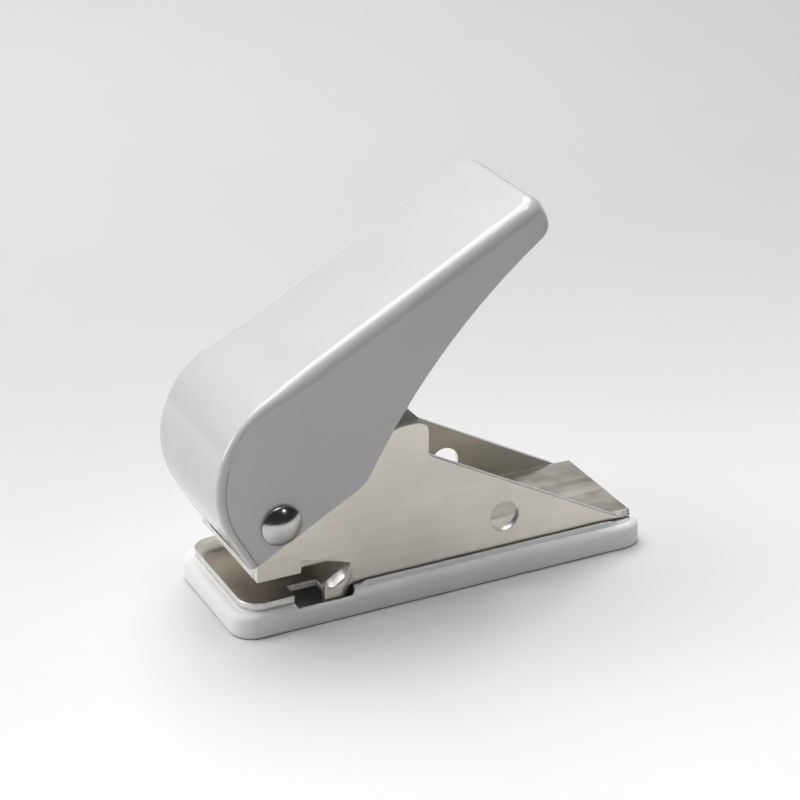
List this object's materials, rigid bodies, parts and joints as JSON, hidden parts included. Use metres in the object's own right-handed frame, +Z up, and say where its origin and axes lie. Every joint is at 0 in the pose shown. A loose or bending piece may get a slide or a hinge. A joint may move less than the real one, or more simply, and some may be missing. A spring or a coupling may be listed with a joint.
{
  "type": "single-hole hand punch",
  "caption": "Lever-type hand punch: a white pressed lever on a plated steel chassis, on a grey plastic foot that catches the chips.",
  "frame": {"origin": "centre of the foot's underside", "axes": "+Z up, +X from the throat at the front to the rear end, +Y to the far side, where the rivet's formed end is"},
  "size_m": [0.1019, 0.0379, 0.0863],
  "materials": {
    "foot_plastic": "satin moulded",
    "plated_steel": "satin nickel plate",
    "hardened_steel": "ground",
    "bright_rivet": "polished",
    "lever_paint": "gloss white",
    "spring_steel": "drawn wire"
  },
  "bodies": {
    "base": {"base_tray": "foot_plastic"},
    "chassis": {"chassis_frame": "plated_steel", "die_ring": "hardened_steel", "punch_guide": "plated_steel", "seat_washer": "plated_steel", "spacer_tube": "plated_steel", "pivot_rivet": "bright_rivet", "rivet_washer": "plated_steel"},
    "lever": {"lever_shell": "lever_paint", "press_bracket": "plated_steel"},
    "punch": {"punch_pin": "hardened_steel", "retaining_clip": "spring_steel", "spring_washer": "plated_steel", "return_spring": "spring_steel"}
  },
  "joints": [
    {"name": "chassis_seat", "type": "slide", "parent": "base", "child": "chassis", "axis": [0, 0, 1], "range_m": [0, 0.012]},
    {"name": "lever_hinge", "type": "hinge", "parent": "chassis", "child": "lever", "pos_m": [-0.0388, 0, 0.0252], "axis": [0, 1, 0], "range_deg": [0, 43], "stiffness_Nm_per_rad": 0.09, "springref_deg": -63.03},
    {"name": "punch_travel", "type": "slide", "parent": "chassis", "child": "punch", "axis": [0, 0, -1], "range_m": [0, 0.0057], "deforming": ["return_spring"]}
  ],
  "couplings": [
    {"joint": "punch_travel", "follows": "lever_hinge", "m_per_rad": 0.0075}
  ]
}
